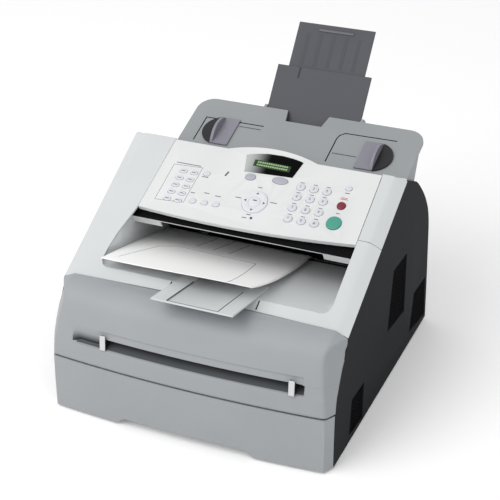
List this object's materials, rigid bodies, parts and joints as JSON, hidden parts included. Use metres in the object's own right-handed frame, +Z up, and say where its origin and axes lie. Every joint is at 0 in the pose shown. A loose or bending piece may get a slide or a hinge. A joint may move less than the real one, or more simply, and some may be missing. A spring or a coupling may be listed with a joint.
{
  "type": "fax machine",
  "caption": "Compact laser fax machine with a paper cassette, sloping key panel, sunk output tray and a document tray with a pull-out support.",
  "frame": {"origin": "on the floor under the middle of the whole machine", "axes": "+X to the machine's right seen from the front, +Y to the back, +Z up"},
  "size_m": [0.374, 0.4438, 0.377],
  "materials": {
    "cover_light": "fine-grained light grey",
    "panel_white": "smooth white",
    "cover_grey": "fine-grained mid grey",
    "side_dark": "fine-grained charcoal",
    "tray_grey": "fine-grained grey",
    "guide_grey": "dark grey",
    "support_grey": "fine-grained dark grey",
    "key_grey": "satin light grey",
    "key_green": "satin teal green",
    "key_red": "satin dark red",
    "window_clear": "clear smoked window",
    "display_green": "backlit display",
    "paper": "paper white",
    "frame_steel": "zinc plated sheet",
    "roller_rubber": "matt black rubber",
    "roller_metal": "turned",
    "drum_green": "coated drum",
    "inner_dark": "black",
    "board_green": "circuit board",
    "sensor_black": "black bar with a glass face"
  },
  "bodies": {
    "chassis": {"base_frame": "frame_steel", "right_side_cover": "side_dark", "left_side_cover": "side_dark", "top_cover": "cover_light", "upper_end_cap": "cover_light", "output_tray": "cover_light", "rear_shell": "side_dark", "document_lower_guide": "cover_light", "document_tray": "tray_grey", "image_sensor": "sensor_black", "laser_unit": "inner_dark", "drum_cartridge": "inner_dark", "main_board": "board_green", "power_supply": "inner_dark", "speaker": "inner_dark", "drive_motor": "roller_metal", "rear_sockets": "inner_dark", "rear_screws": "frame_steel", "feet": "roller_rubber"},
    "front_cover": {"front_cover": "cover_grey"},
    "manual_guide_left": {"manual_guide_left": "cover_grey"},
    "manual_guide_right": {"manual_guide_right": "cover_grey"},
    "paper_cassette": {"paper_cassette": "cover_grey"},
    "cassette_lift_plate": {"cassette_lift_plate": "frame_steel"},
    "rear_cover": {"rear_cover": "side_dark"},
    "document_guide_left": {"document_guide_left": "guide_grey"},
    "document_guide_right": {"document_guide_right": "guide_grey"},
    "document_support": {"document_support": "support_grey"},
    "document_support_extension": {"document_support_extension": "support_grey"},
    "output_extension": {"output_extension": "cover_light"},
    "printed_sheet": {"printed_sheet": "paper"},
    "photo_drum": {"photo_drum": "drum_green"},
    "heat_roller": {"heat_roller": "roller_metal"},
    "pressure_roller": {"pressure_roller": "roller_rubber"},
    "exit_roller": {"exit_roller": "roller_rubber"},
    "pickup_roller": {"pickup_roller": "roller_rubber"},
    "document_feed_roller": {"document_feed_roller": "roller_rubber"},
    "dial_key_1": {"dial_key_1": "key_grey"},
    "dial_key_2": {"dial_key_2": "key_grey"},
    "dial_key_3": {"dial_key_3": "key_grey"},
    "dial_key_4": {"dial_key_4": "key_grey"},
    "dial_key_5": {"dial_key_5": "key_grey"},
    "dial_key_6": {"dial_key_6": "key_grey"},
    "dial_key_7": {"dial_key_7": "key_grey"},
    "dial_key_8": {"dial_key_8": "key_grey"},
    "dial_key_9": {"dial_key_9": "key_grey"},
    "dial_key_star": {"dial_key_star": "key_grey"},
    "dial_key_0": {"dial_key_0": "key_grey"},
    "dial_key_hash": {"dial_key_hash": "key_grey"},
    "start_key": {"start_key": "key_green"},
    "stop_key": {"stop_key": "key_red"},
    "navigation_key": {"navigation_key": "key_grey"},
    "soft_key_left": {"soft_key_left": "key_grey"},
    "soft_key_right": {"soft_key_right": "key_grey"},
    "function_keys": {"function_keys": "key_grey"},
    "speed_dial_keys": {"speed_dial_keys": "key_grey"},
    "control_panel": {"control_panel": "panel_white", "lcd_window": "window_clear", "lcd_module": "display_green", "panel_board": "board_green"}
  },
  "joints": [
    {"name": "cassette_slide", "type": "slide", "parent": "chassis", "child": "paper_cassette", "axis": [0, -1, 0], "range_m": [0, 0.25]},
    {"name": "lift_plate_hinge", "type": "hinge", "parent": "paper_cassette", "child": "cassette_lift_plate", "pos_m": [0, -0.03414, 0.0145], "axis": [-1, 0, 0], "range_deg": [0, 8]},
    {"name": "front_cover_hinge", "type": "hinge", "parent": "chassis", "child": "front_cover", "pos_m": [0, -0.21314, 0.0832], "axis": [1, 0, 0], "range_deg": [0, 80]},
    {"name": "manual_guide_left_slide", "type": "slide", "parent": "front_cover", "child": "manual_guide_left", "axis": [1, 0, 0], "range_m": [0, 0.04]},
    {"name": "manual_guide_right_slide", "type": "slide", "parent": "front_cover", "child": "manual_guide_right", "axis": [1, 0, 0], "range_m": [-0.04, 0]},
    {"name": "rear_cover_hinge", "type": "hinge", "parent": "chassis", "child": "rear_cover", "pos_m": [0, 0.14916, 0.0665], "axis": [-1, 0, 0], "range_deg": [0, 60]},
    {"name": "control_panel_hinge", "type": "hinge", "parent": "chassis", "child": "control_panel", "pos_m": [0, 0.03986, 0.264], "axis": [-1, 0, 0], "range_deg": [0, 40]},
    {"name": "document_guide_left_slide", "type": "slide", "parent": "chassis", "child": "document_guide_left", "axis": [1, 0, 0], "range_m": [0, 0.028]},
    {"name": "document_guide_right_slide", "type": "slide", "parent": "chassis", "child": "document_guide_right", "axis": [1, 0, 0], "range_m": [-0.028, 0]},
    {"name": "document_support_slide", "type": "slide", "parent": "chassis", "child": "document_support", "axis": [0, 0.6428, 0.766], "range_m": [-0.02, 0]},
    {"name": "support_extension_slide", "type": "slide", "parent": "document_support", "child": "document_support_extension", "axis": [0, 0.6428, 0.766], "range_m": [-0.04, 0]},
    {"name": "output_extension_slide", "type": "slide", "parent": "chassis", "child": "output_extension", "axis": [0, 0.9787, -0.2055], "range_m": [0, 0.055]},
    {"name": "printed_sheet_pull", "type": "slide", "parent": "chassis", "child": "printed_sheet", "axis": [0, -0.9613, 0.2754], "range_m": [0, 0.1]},
    {"name": "heat_roller_spin", "type": "hinge", "parent": "chassis", "child": "heat_roller", "pos_m": [0, 0.08586, 0.1038], "axis": [1, 0, 0], "continuous": true},
    {"name": "pressure_roller_spin", "type": "hinge", "parent": "chassis", "child": "pressure_roller", "pos_m": [0, 0.08586, 0.0774], "axis": [1, 0, 0], "continuous": true},
    {"name": "photo_drum_spin", "type": "hinge", "parent": "chassis", "child": "photo_drum", "pos_m": [0, -0.01814, 0.086], "axis": [1, 0, 0], "continuous": true},
    {"name": "exit_roller_spin", "type": "hinge", "parent": "chassis", "child": "exit_roller", "pos_m": [0, 0.02186, 0.13659], "axis": [1, 0, 0], "continuous": true},
    {"name": "pickup_roller_spin", "type": "hinge", "parent": "chassis", "child": "pickup_roller", "pos_m": [0, -0.15814, 0.075], "axis": [1, 0, 0], "continuous": true},
    {"name": "document_feed_roller_spin", "type": "hinge", "parent": "chassis", "child": "document_feed_roller", "pos_m": [0, 0.01602, 0.23407], "axis": [1, 0, 0], "continuous": true},
    {"name": "dial_key_1_press", "type": "slide", "parent": "control_panel", "child": "dial_key_1", "axis": [0, 0.4689, -0.8833], "range_m": [0, 0.0008], "stiffness_N_per_m": 400, "springref_m": -0.0005},
    {"name": "dial_key_2_press", "type": "slide", "parent": "control_panel", "child": "dial_key_2", "axis": [0, 0.4689, -0.8833], "range_m": [0, 0.0008], "stiffness_N_per_m": 400, "springref_m": -0.0005},
    {"name": "dial_key_3_press", "type": "slide", "parent": "control_panel", "child": "dial_key_3", "axis": [0, 0.4689, -0.8833], "range_m": [0, 0.0008], "stiffness_N_per_m": 400, "springref_m": -0.0005},
    {"name": "dial_key_4_press", "type": "slide", "parent": "control_panel", "child": "dial_key_4", "axis": [0, 0.4689, -0.8833], "range_m": [0, 0.0008], "stiffness_N_per_m": 400, "springref_m": -0.0005},
    {"name": "dial_key_5_press", "type": "slide", "parent": "control_panel", "child": "dial_key_5", "axis": [0, 0.4689, -0.8833], "range_m": [0, 0.0008], "stiffness_N_per_m": 400, "springref_m": -0.0005},
    {"name": "dial_key_6_press", "type": "slide", "parent": "control_panel", "child": "dial_key_6", "axis": [0, 0.4689, -0.8833], "range_m": [0, 0.0008], "stiffness_N_per_m": 400, "springref_m": -0.0005},
    {"name": "dial_key_7_press", "type": "slide", "parent": "control_panel", "child": "dial_key_7", "axis": [0, 0.4689, -0.8833], "range_m": [0, 0.0008], "stiffness_N_per_m": 400, "springref_m": -0.0005},
    {"name": "dial_key_8_press", "type": "slide", "parent": "control_panel", "child": "dial_key_8", "axis": [0, 0.4689, -0.8833], "range_m": [0, 0.0008], "stiffness_N_per_m": 400, "springref_m": -0.0005},
    {"name": "dial_key_9_press", "type": "slide", "parent": "control_panel", "child": "dial_key_9", "axis": [0, 0.4689, -0.8833], "range_m": [0, 0.0008], "stiffness_N_per_m": 400, "springref_m": -0.0005},
    {"name": "dial_key_star_press", "type": "slide", "parent": "control_panel", "child": "dial_key_star", "axis": [0, 0.4689, -0.8833], "range_m": [0, 0.0008], "stiffness_N_per_m": 400, "springref_m": -0.0005},
    {"name": "dial_key_0_press", "type": "slide", "parent": "control_panel", "child": "dial_key_0", "axis": [0, 0.4689, -0.8833], "range_m": [0, 0.0008], "stiffness_N_per_m": 400, "springref_m": -0.0005},
    {"name": "dial_key_hash_press", "type": "slide", "parent": "control_panel", "child": "dial_key_hash", "axis": [0, 0.4689, -0.8833], "range_m": [0, 0.0008], "stiffness_N_per_m": 400, "springref_m": -0.0005},
    {"name": "start_key_press", "type": "slide", "parent": "control_panel", "child": "start_key", "axis": [0, 0.4689, -0.8833], "range_m": [0, 0.0008], "stiffness_N_per_m": 400, "springref_m": -0.0005},
    {"name": "stop_key_press", "type": "slide", "parent": "control_panel", "child": "stop_key", "axis": [0, 0.4689, -0.8833], "range_m": [0, 0.0008], "stiffness_N_per_m": 400, "springref_m": -0.0005},
    {"name": "navigation_key_press", "type": "slide", "parent": "control_panel", "child": "navigation_key", "axis": [0, 0.4689, -0.8833], "range_m": [0, 0.0008], "stiffness_N_per_m": 400, "springref_m": -0.0005},
    {"name": "soft_key_left_press", "type": "slide", "parent": "control_panel", "child": "soft_key_left", "axis": [0, 0.4689, -0.8833], "range_m": [0, 0.0008], "stiffness_N_per_m": 400, "springref_m": -0.0005},
    {"name": "soft_key_right_press", "type": "slide", "parent": "control_panel", "child": "soft_key_right", "axis": [0, 0.4689, -0.8833], "range_m": [0, 0.0008], "stiffness_N_per_m": 400, "springref_m": -0.0005},
    {"name": "function_keys_press", "type": "slide", "parent": "control_panel", "child": "function_keys", "axis": [0, 0.4689, -0.8833], "range_m": [0, 0.0008], "stiffness_N_per_m": 400, "springref_m": -0.0005},
    {"name": "speed_dial_keys_press", "type": "slide", "parent": "control_panel", "child": "speed_dial_keys", "axis": [0, 0.4689, -0.8833], "range_m": [0, 0.0008], "stiffness_N_per_m": 400, "springref_m": -0.0005}
  ],
  "couplings": [
    {"joint": "manual_guide_right_slide", "follows": "manual_guide_left_slide", "ratio": -1},
    {"joint": "document_guide_right_slide", "follows": "document_guide_left_slide", "ratio": -1},
    {"joint": "pressure_roller_spin", "follows": "heat_roller_spin", "ratio": -1},
    {"joint": "photo_drum_spin", "follows": "heat_roller_spin", "ratio": 1.0833},
    {"joint": "exit_roller_spin", "follows": "heat_roller_spin", "ratio": 2.1667}
  ]
}
